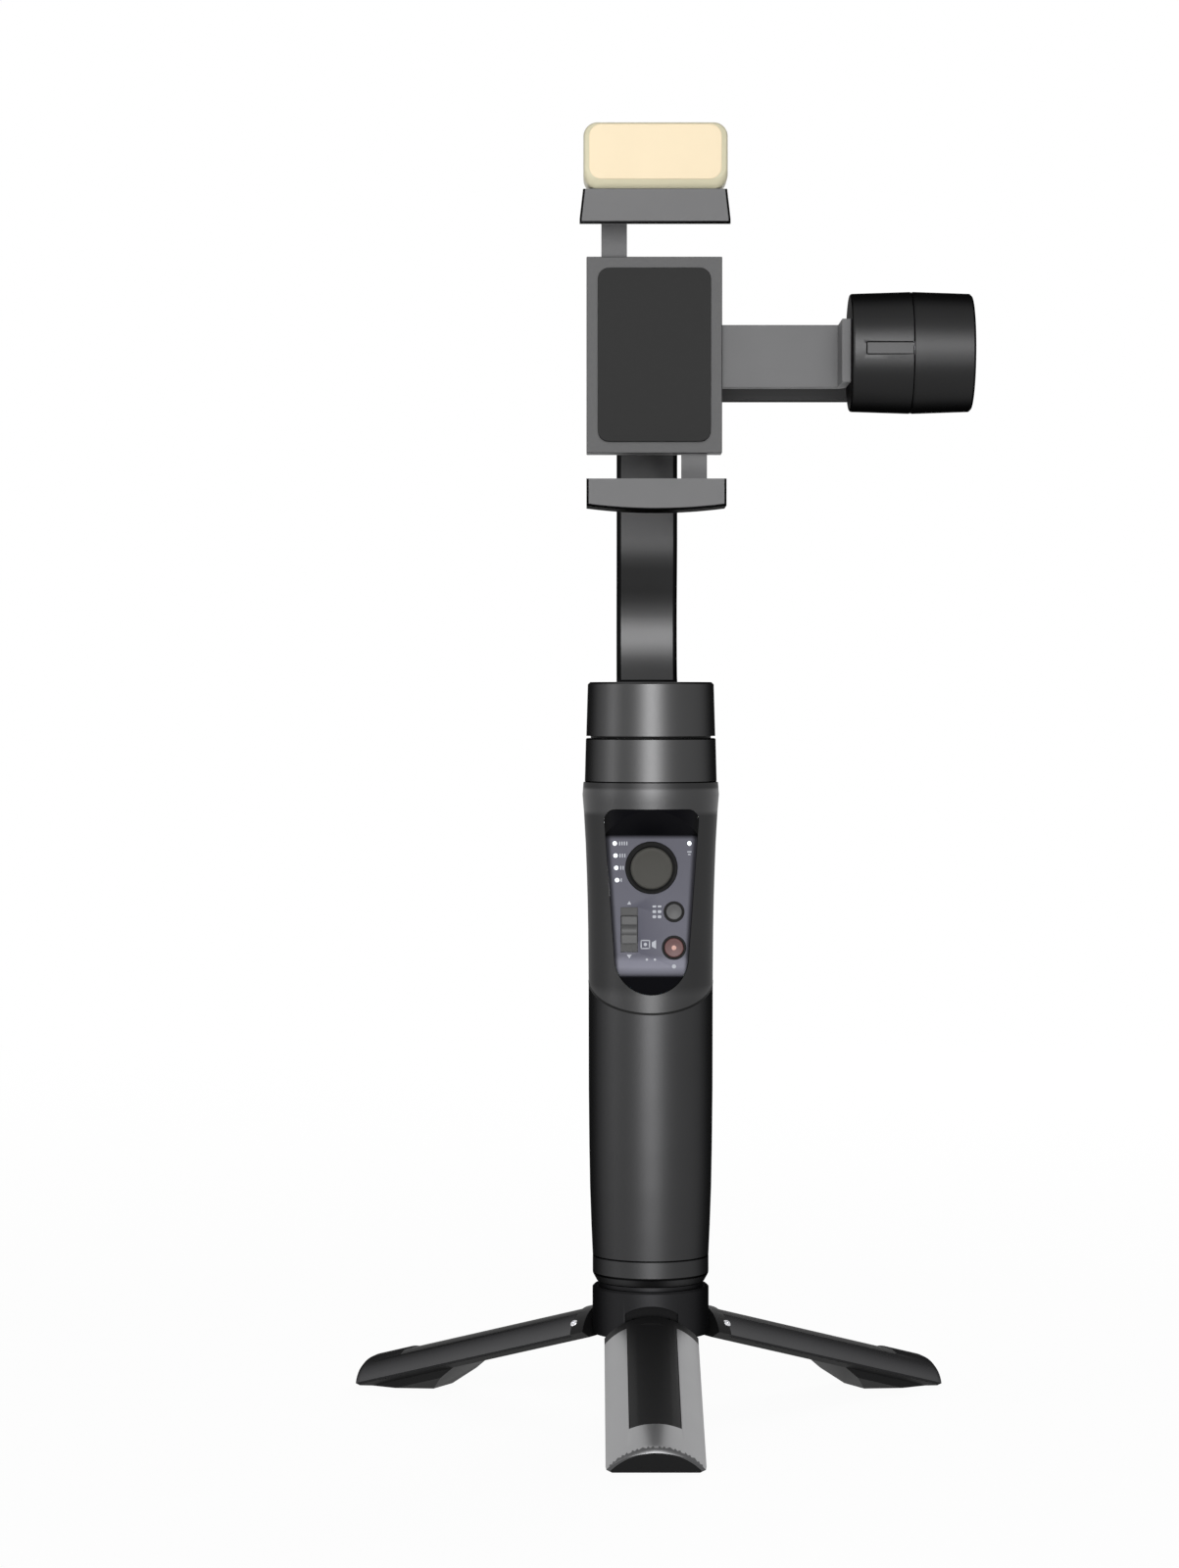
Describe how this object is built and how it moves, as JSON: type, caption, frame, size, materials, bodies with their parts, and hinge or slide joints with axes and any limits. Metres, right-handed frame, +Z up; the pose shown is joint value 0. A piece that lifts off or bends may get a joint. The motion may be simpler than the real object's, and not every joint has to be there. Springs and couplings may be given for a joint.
{
  "type": "smartphone gimbal",
  "caption": "Three-axis handheld smartphone gimbal on a fold-out mini tripod, with a spring phone clamp and a clip-on fill light",
  "frame": {"origin": "the plane of the feet, under the pan axis", "axes": "+Z up the handle, +X to the user's right, -Y towards the user"},
  "size_m": [0.1646, 0.1715, 0.339],
  "materials": {
    "shell_plastic": "matte",
    "cover_plastic": "satin",
    "panel_plastic": "satin",
    "button_plastic": "satin",
    "record_plastic": "satin",
    "stick_rubber": "matte",
    "pad_rubber": "matte",
    "arm_metal": "satin dark anodised",
    "jaw_plastic": "satin",
    "clamp_plastic": "satin",
    "light_plastic": "satin",
    "diffuser": "frosted",
    "leg_metal": "satin",
    "leg_plastic": "matte",
    "steel": "polished",
    "magnet": "plated",
    "winding": "enamelled wire",
    "brass": "turned",
    "circuit": "satin",
    "cell_wrap": "shrink film",
    "light_pipe": "clear"
  },
  "bodies": {
    "handle": {"handle_rear_shell": "shell_plastic", "grip_front_shell": "shell_plastic", "control_cover": "cover_plastic", "control_panel": "panel_plastic", "bottom_cap": "shell_plastic", "battery_cell": "cell_wrap", "control_board": "circuit", "joystick_base": "clamp_plastic", "tact_switches": "steel", "usb_socket": "steel", "led_pipes": "light_pipe", "shell_screws": "steel", "pan_motor_housing": "arm_metal", "pan_stator": "winding", "pan_bearings": "steel", "thread_insert": "brass", "tripod_hub": "shell_plastic", "tripod_stud": "steel", "hinge_pins": "steel"},
    "pan_frame": {"pan_arm": "arm_metal", "pan_arm_cover": "cover_plastic", "pan_magnet_ring": "magnet", "pan_shaft": "steel", "roll_motor_cover": "arm_metal", "roll_stator": "winding", "roll_bearings": "steel"},
    "roll_frame": {"roll_arm": "arm_metal", "roll_arm_cover": "cover_plastic", "roll_magnet_ring": "magnet", "roll_shaft": "steel", "tilt_motor_cover": "arm_metal", "tilt_stator": "winding", "tilt_bearings": "steel"},
    "phone_clamp": {"tilt_rotor": "arm_metal", "tilt_magnet_ring": "magnet", "tilt_shaft": "steel", "clamp_bracket": "jaw_plastic", "clamp_body": "clamp_plastic", "clamp_cover": "clamp_plastic", "clamp_pad": "pad_rubber", "clamp_spring": "steel"},
    "pinion": {"clamp_pinion": "jaw_plastic"},
    "upper_jaw_slide": {"upper_jaw": "jaw_plastic", "upper_jaw_pad": "pad_rubber", "light_housing": "light_plastic", "light_diffuser": "diffuser"},
    "lower_jaw_slide": {"lower_jaw": "jaw_plastic", "lower_jaw_pad": "pad_rubber"},
    "stick_ring": {"joystick_ring": "steel"},
    "stick": {"joystick_stick": "stick_rubber"},
    "zoom": {"zoom_slider": "button_plastic"},
    "mode": {"mode_button": "button_plastic"},
    "record": {"record_button": "record_plastic"},
    "leg_front": {"leg_front_shell": "leg_metal", "leg_front_core": "leg_plastic"},
    "leg_left": {"leg_left_shell": "leg_metal", "leg_left_core": "leg_plastic"},
    "leg_right": {"leg_right_shell": "leg_metal", "leg_right_core": "leg_plastic"}
  },
  "joints": [
    {"name": "pan", "type": "hinge", "parent": "handle", "child": "pan_frame", "pos_m": [0, 0, 0.178], "axis": [0, 0, 1], "range_deg": [-160, 160]},
    {"name": "roll", "type": "hinge", "parent": "pan_frame", "child": "roll_frame", "pos_m": [0, 0.064, 0.2794], "axis": [0, 1, 0], "range_deg": [-160, 160]},
    {"name": "tilt", "type": "hinge", "parent": "roll_frame", "child": "phone_clamp", "pos_m": [0.0685, 0, 0.2794], "axis": [1, 0, 0], "range_deg": [-55, 90]},
    {"name": "jaw_open", "type": "slide", "parent": "phone_clamp", "child": "upper_jaw_slide", "axis": [0, 0, 1], "range_m": [-0.00825, 0.00925]},
    {"name": "lower_jaw_open", "type": "slide", "parent": "phone_clamp", "child": "lower_jaw_slide", "axis": [0, 0, 1], "range_m": [-0.00925, 0.00825]},
    {"name": "pinion_spin", "type": "hinge", "parent": "phone_clamp", "child": "pinion", "pos_m": [0.001, 0.008, 0.2794], "axis": [0, 1, 0], "range_deg": [-79, 88.6]},
    {"name": "stick_sideways", "type": "hinge", "parent": "handle", "child": "stick_ring", "pos_m": [0, -0.0102, 0.144], "axis": [0, 0, 1], "range_deg": [-12, 12], "stiffness_Nm_per_rad": 0.04},
    {"name": "stick_updown", "type": "hinge", "parent": "stick_ring", "child": "stick", "pos_m": [0, -0.0102, 0.144], "axis": [1, 0, 0], "range_deg": [-12, 12], "stiffness_Nm_per_rad": 0.04},
    {"name": "zoom_slide", "type": "slide", "parent": "handle", "child": "zoom", "axis": [0, 0, 1], "range_m": [-0.002, 0.002], "stiffness_N_per_m": 300},
    {"name": "mode_press", "type": "slide", "parent": "handle", "child": "mode", "axis": [0, 1, 0], "range_m": [0, 0.0004], "stiffness_N_per_m": 1500, "springref_m": -0.0001},
    {"name": "record_press", "type": "slide", "parent": "handle", "child": "record", "axis": [0, 1, 0], "range_m": [0, 0.0004], "stiffness_N_per_m": 1500, "springref_m": -0.0001},
    {"name": "leg_front_fold", "type": "hinge", "parent": "handle", "child": "leg_front", "pos_m": [0, -0.009, 0.02173], "axis": [1, 0, 0], "range_deg": [0, 74.5]},
    {"name": "leg_left_fold", "type": "hinge", "parent": "handle", "child": "leg_left", "pos_m": [-0.00779, 0.0045, 0.02173], "axis": [-0.5, -0.866, 0], "range_deg": [0, 74.5]},
    {"name": "leg_right_fold", "type": "hinge", "parent": "handle", "child": "leg_right", "pos_m": [0.00779, 0.0045, 0.02173], "axis": [-0.5, 0.866, 0], "range_deg": [0, 74.5]}
  ],
  "couplings": [
    {"joint": "lower_jaw_open", "follows": "jaw_open", "ratio": -1},
    {"joint": "pinion_spin", "follows": "jaw_open", "rad_per_m": 166.67}
  ]
}
